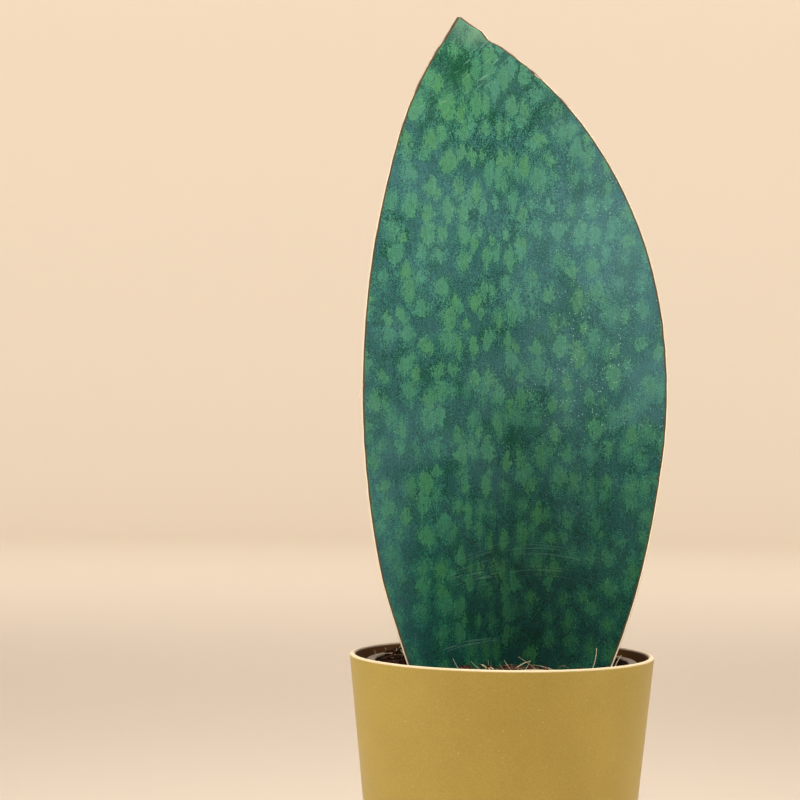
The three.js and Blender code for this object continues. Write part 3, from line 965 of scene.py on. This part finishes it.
class SANSEVIERIA_OT_nursery_pot(PlantOperator, bpy.types.Operator):
    """Form the thin nursery pot inside it, with its turned-down rim and drain holes"""

    bl_idname = "sansevieria.nursery_pot"
    bl_label = "Nursery Pot"

    def execute(self, context):
        s = context.scene.sansevieria_pot
        foot, top = NURSERY_FOOT.z, NURSERY_TOP.z
        rim, wall = NURSERY_TOP.x, s.nursery_wall
        base, neck, band = NURSERY_BASE * MM, NURSERY_NECK * MM, RIM_BAND * MM
        raised = foot + 2 * MM
        inner_floor = raised + wall
        foot_round, edge = 1.5 * MM, 0.8 * MM
        floor_radius, ring_radius = base - 11 * MM, base - 9 * MM
        profile = [
            (0, raised),
            (floor_radius, raised),
            (ring_radius, foot),
            *arc(base - foot_round, foot + foot_round, foot_round, -90, 0, 6),
            (neck, top - wall),
            (rim - wall, top - wall),
            (rim - wall, top - band),
            (rim, top - band),
            *arc(rim - edge, top - edge, edge, 0, 90, 6),
            *arc(neck - wall + edge, top - edge, edge, 90, 180, 6),
            (nursery_inside(inner_floor, s), inner_floor),
            (0, inner_floor),
        ]
        shell, material = turned(profile, 144), taupe_material(s)
        piece = finished("nursery_shell", shell, material, ["nursery_pot"])
        cut_away(piece, [self.drill(s, raised)])
        return {"FINISHED"}

    @staticmethod
    def drill(s, height):
        """One mesh with a plug for each drain hole."""
        bm = bmesh.new()
        ring = [polar(DRAIN_CIRCLE * MM, 2 * math.pi * i / s.drain_holes) for i in range(s.drain_holes)]
        radius = DRAIN_RADIUS * MM
        for x, y in [(0, 0), *ring]:
            bmesh.ops.create_cone(
                bm, cap_ends=True, segments=28, radius1=radius, radius2=radius, depth=5 * MM,
                matrix=Matrix.Translation((x, y, height)),
            )
        return as_mesh("drill", bm)


class SANSEVIERIA_OT_soil(PlantOperator, bpy.types.Operator):
    """Fill the nursery pot with soil, and scatter crumbs on it"""

    bl_idname = "sansevieria.soil"
    bl_label = "Soil"

    def execute(self, context):
        s, pot = context.scene.sansevieria_soil, context.scene.sansevieria_pot
        draw = random.Random(41)
        material = soil_material(s)
        bed = self.bed(pot, material)
        cut_away(bed, self.hollows())
        self.crumbs(s, pot, material, draw)
        return {"FINISHED"}

    @staticmethod
    def bed(pot, material):
        """The body of the soil, with its rough surface."""
        gap, floor, edge = 0.35 * MM, SOIL_FOOT.z, POT_TOP.z - SOIL_DROP * MM
        reach = nursery_inside(edge, pot) - gap
        foot = nursery_inside(floor, pot) - gap
        rings, rows = 68, 8
        surface = [(reach * (1 - i / rings), edge) for i in range(rings + 1)]
        side = [
            (foot + (reach - foot) * i / rows, floor + (edge - floor) * i / rows)
            for i in range(rows)
        ]
        bm = turned([(0, floor), *side, *surface], 230)
        level_strip = 2.5 * MM
        for vert in bm.verts:
            if vert.co.z > edge - 0.01 * MM:
                far = math.hypot(vert.co.x, vert.co.y)
                inside = smoothstep(reach - far, 0, level_strip)
                vert.co.z += (soil_height(vert.co.x, vert.co.y) - edge) * inside
        return finished("soil_bed", bm, material, ["soil"], sharp=80)

    @staticmethod
    def hollows():
        """Meshes of the leaf's foot, the rhizome and the roots, a little larger than they are."""
        gap = 0.2
        shapes = [blade_mesh(48, 60, grow=gap, top=14), rhizome_mesh(gap)]
        for index in range(ROOTS["count"]):
            shapes.append(bmesh.new())
            lay_roots(shapes[-1], [index], 10, gap)
        return [as_mesh("hollow", shape) for shape in shapes]

    @staticmethod
    def crumbs(s, pot, material, draw):
        """Crumbs of many sizes on the surface."""
        templates = []
        for detail in (1, 2):
            bm = bmesh.new()
            bmesh.ops.create_icosphere(bm, subdivisions=detail, radius=1)
            templates.append(as_mesh("crumb", bm))
        reach = nursery_inside(POT_TOP.z, pot) - 1.5 * MM
        smallest, spread, coarse = 0.4, 1.5, 1.5 * MM
        bm = bmesh.new()
        for i in range(s.crumbs):
            size = (smallest + spread * draw.random() ** 3) * MM
            turn = GOLDEN_ANGLE * i + draw.random()
            x, y = polar((reach - size) * math.sqrt(draw.random()), turn)
            place = on_soil(x, y, 0.25 * size)
            shape = [draw.uniform(0.7, 1.35) for _ in range(3)]
            turns = [Matrix.Rotation(draw.uniform(0, math.pi), 3, axis) for axis in "XYZ"]
            # The strip in front of the leaf has only fine crumbs
            before_leaf = abs(x) < 46 * MM and y < -6 * MM
            if in_leaf(place, size / MM * 0.9) or before_leaf and size > 0.9 * MM:
                continue
            start = len(bm.verts)
            bm.from_mesh(templates[size > coarse])
            bm.verts.ensure_lookup_table()
            rotation = turns[0] @ turns[1] @ turns[2]
            for vert in bm.verts[start:]:
                lumpy = 1 + 0.75 * noise.noise(vert.co * 1.7 + Vector((i, 0, 0)))
                stretched = Vector(c * k for c, k in zip(vert.co, shape))
                vert.co = place + rotation @ stretched * lumpy * size
        finished("soil_crumbs", bm, material, sharp=50)


class SANSEVIERIA_OT_straws(PlantOperator, bpy.types.Operator):
    """Lay coir fibres and pale straws on the soil"""

    bl_idname = "sansevieria.straws"
    bl_label = "Fibres and Straws"

    def execute(self, context):
        s, pot = context.scene.sansevieria_soil, context.scene.sansevieria_pot
        draw = random.Random(7)
        self.fibres(s, pot, draw)
        self.straws(s, draw)
        return {"FINISHED"}

    @staticmethod
    def fibres(s, pot, draw):
        """Thin fibres that curl over the surface, each kept inside the nursery pot."""
        steps = 8
        template = tube_template(3, steps)
        reach = nursery_inside(POT_TOP.z, pot) - 1.2 * MM
        bm = bmesh.new()
        for i in range(s.fibres):
            x, y = polar(reach * math.sqrt(draw.random()), GOLDEN_ANGLE * i)
            heading, curl = draw.uniform(0, 2 * math.pi), draw.uniform(-0.35, 0.35)
            stride = draw.uniform(0.7, 3) * MM
            lift = draw.uniform(0, 3.4) * MM * draw.random()
            radius = draw.uniform(0.07, 0.19) * MM
            route = []
            for k in range(steps + 1):
                height = soil_height(x, y) + 0.4 * MM + lift * math.sin(math.pi * k / steps)
                route.append(Vector((x, y, height)))
                heading += curl + draw.uniform(-0.3, 0.3)
                x, y = x + stride * math.cos(heading), y + stride * math.sin(heading)
                away = math.hypot(x, y)
                if away > reach:
                    x, y = x * reach / away, y * reach / away
            if not any(in_leaf(point, 0.4) for point in route):
                lay_tube(bm, template, route, radius, radius * 0.5)
        material = fibre_material("coir_fibre", s.coir, srgb(46, 28, 18), 0.7)
        finished("coir_fibres", bm, material, sharp=80)

    @staticmethod
    def straws(s, draw):
        """The straws that stand beside the leaf, and loose ones that lie about."""
        steps, pot_reach = 10, 54 * MM
        template = tube_template(6, steps)
        bm = bmesh.new()
        for foot, tip, bow, radius in STRAWS:
            route = bowed(Vector(foot) * MM, Vector(tip) * MM, 2 * bow * MM, steps)
            lay_tube(bm, template, route, radius * MM, 0.7 * radius * MM)
        for i in range(s.loose_straws):
            x, y = polar(draw.uniform(12, 50) * MM, GOLDEN_ANGLE * i)
            heading, length = draw.uniform(0, 2 * math.pi), draw.uniform(8, 20) * MM
            tip_x, tip_y = x + length * math.cos(heading), y + length * math.sin(heading)
            pull = min(1, pot_reach / math.hypot(tip_x, tip_y))
            foot = on_soil(x, y, -0.5 * MM)
            end = on_soil(tip_x * pull, tip_y * pull, draw.uniform(0.6, 3.5) * MM)
            route = bowed(foot, end, draw.uniform(-3, 3) * MM, steps)
            lifted = [Vector((p.x, p.y, max(p.z, soil_height(p.x, p.y)))) for p in route[1:]]
            if not any(in_leaf(point, 0.5) for point in lifted):
                lay_tube(bm, template, [foot, *lifted], draw.uniform(0.2, 0.4) * MM, 0.15 * MM)
        material = fibre_material("dry_straw", s.straw, srgb(182, 160, 114), 0.6)
        finished("straws", bm, material, sharp=80)


class SANSEVIERIA_OT_leaf(PlantOperator, bpy.types.Operator):
    """Grow the mottled leaf, its horny margin, and its rhizome with roots"""

    bl_idname = "sansevieria.leaf"
    bl_label = "Leaf"

    def execute(self, context):
        s = context.scene.sansevieria_leaf
        blade = blade_mesh(s.around, s.along)
        finished("leaf_blade", blade, leaf_material(s), ["leaf"], sharp=120)
        self.margin(s)
        self.rhizome()
        return {"FINISHED"}

    @staticmethod
    def margin(s):
        """The horny thread along both edges, which bridges the places where it has peeled."""
        steps = 300
        template = tube_template(6, steps)
        bm = bmesh.new()
        low, high, outwards = -12, LEFT_EDGE[-1][0], 0.12 * MM
        for side in (-1, 1):
            route = []
            for k in range(steps + 1):
                height = low + (high - low) * (1 - (1 - k / steps) ** 1.3)
                route.append(edge_place(side, height) + Vector((side * outwards, 0, 0)))
            lay_tube(bm, template, route, s.thread_radius * 1.25, s.thread_radius * 0.8)
        steps = 12
        swing, length = TORN_HAIR["swing"], TORN_HAIR["length"]
        top = edge_place(-1, TORN_HAIR["height"])
        route = []
        for k in range(steps + 1):
            sideways = -swing * math.sin(k / steps * 2.4)
            route.append(top + Vector((sideways, -0.4, -length * k / steps)) * MM)
        lay_tube(bm, tube_template(3, steps), route, 0.1 * MM, 0.05 * MM)
        finished("leaf_margin", bm, thread_material(s), sharp=80)

    @staticmethod
    def rhizome():
        """The rhizome and its roots, hidden in the soil."""
        bm = bmesh.new()
        bm.from_mesh(as_mesh("stem", rhizome_mesh()))
        lay_roots(bm, range(ROOTS["count"]), 14)
        finished("rhizome", bm, rhizome_material(), ["leaf"], sharp=60)


class SANSEVIERIA_OT_studio(PlantOperator, bpy.types.Operator):
    """Set the sweep, the lights and the camera"""

    bl_idname = "sansevieria.studio"
    bl_label = "Studio"

    def execute(self, context):
        s = context.scene.sansevieria_studio
        self.sweep(s)
        plant = (0, 0, POT_TOP.z + 80 * MM)
        self.light("overhead", (0.05, -0.2, 1.5), plant, (0.9, 0.8), s.overhead, 90)
        self.light("left_box", (-1.3, -0.5, 0.7), plant, (0.8, 1.2), s.key)
        self.light("right_box", (1.3, -0.4, 0.65), plant, (0.7, 1.1), s.fill)
        for name, side in (("left_wash", -1), ("right_wash", 1)):
            for label, front, power in ((name, 1, s.wash), ("near_" + name, -1, s.near_wash)):
                place, wall = (1.3 * side, 1.4 * front, 2.1), (0.5 * side, 4 * front, 0.9)
                self.light(label, place, wall, (1, 0.6), power)
        world = bpy.data.worlds.new("studio_air")
        world.use_nodes = True
        air = world.node_tree.nodes["Background"]
        air.inputs["Color"].default_value = (1, 0.95, 0.9, 1)
        air.inputs["Strength"].default_value = s.ambient
        context.scene.world = world
        context.scene.view_settings.view_transform = "Standard"
        self.camera(s)
        return {"FINISHED"}

    @staticmethod
    def sweep(s):
        """A round floor that curves up into a wall, well clear of every camera."""
        floor, bend, wall = 3.1, 1, 3
        profile = [(0, 0), (floor, 0), *arc(floor, bend, bend, -90, 0, 24)[1:], (floor + bend, wall)]
        bm = turned(profile, 96)
        for face in bm.faces:
            face.smooth = True
        sheet = placed("sweep", as_mesh("sweep", bm))
        material, shader, _ = new_material("sweep_paper", 0.8, 0.2)
        shader.inputs["Base Color"].default_value = (*s.backdrop, 1)
        sheet.data.materials.append(material)

    @staticmethod
    def light(name, place, target, size, power, spread=180):
        """A lamp that only lights: its place, what it is turned to and its size are in metres."""
        lamp = bpy.data.lights.new(name, "AREA")
        lamp.spread = math.radians(spread)
        lamp.shape, lamp.size, lamp.size_y, lamp.energy = "RECTANGLE", *size, power
        holder = placed(name, lamp)
        holder.location = place
        holder.rotation_euler = (Vector(target) - Vector(place)).to_track_quat("-Z", "Y").to_euler()
        holder.visible_camera = False

    @staticmethod
    def camera(s):
        """The photograph's own view: level, from the left of the axis, tipped a little."""
        data = bpy.data.cameras.new("camera")
        data.sensor_width, data.lens = 36, s.lens
        holder = placed("camera", data)
        holder.location = (-s.left, -s.distance, POT_TOP.z + s.height)
        holder.rotation_euler = (math.pi / 2, -s.roll, 0)
        bpy.context.scene.camera = holder


OPERATORS = (
    SANSEVIERIA_OT_outer_pot,
    SANSEVIERIA_OT_nursery_pot,
    SANSEVIERIA_OT_soil,
    SANSEVIERIA_OT_straws,
    SANSEVIERIA_OT_leaf,
    SANSEVIERIA_OT_studio,
)
SETTINGS = {
    "sansevieria_pot": PotSettings,
    "sansevieria_soil": SoilSettings,
    "sansevieria_leaf": LeafSettings,
    "sansevieria_studio": StudioSettings,
}


class SANSEVIERIA_PT_sidebar(bpy.types.Panel):
    """Lists the pieces and their settings"""

    bl_idname = "SANSEVIERIA_PT_sidebar"
    bl_label = "Potted Sansevieria"
    bl_space_type = "VIEW_3D"
    bl_region_type = "UI"
    bl_category = "Sansevieria"

    def draw(self, context):
        for operator in OPERATORS:
            self.layout.operator(operator.bl_idname)
        for name in SETTINGS:
            box = self.layout.box()
            box.label(text=name.partition("_")[2].title())
            group = getattr(context.scene, name)
            for key in group.__annotations__:
                box.prop(group, key)


CLASSES = (*SETTINGS.values(), *OPERATORS, SANSEVIERIA_PT_sidebar)


def register():
    for kind in CLASSES:
        bpy.utils.register_class(kind)
    for name, settings in SETTINGS.items():
        setattr(bpy.types.Scene, name, PointerProperty(type=settings))


def unregister():
    for name in SETTINGS:
        delattr(bpy.types.Scene, name)
    for kind in reversed(CLASSES):
        bpy.utils.unregister_class(kind)


def main():
    register()
    for operator in OPERATORS:
        getattr(bpy.ops.sansevieria, operator.bl_idname.partition(".")[2])()


if __name__ == "__main__":
    main()
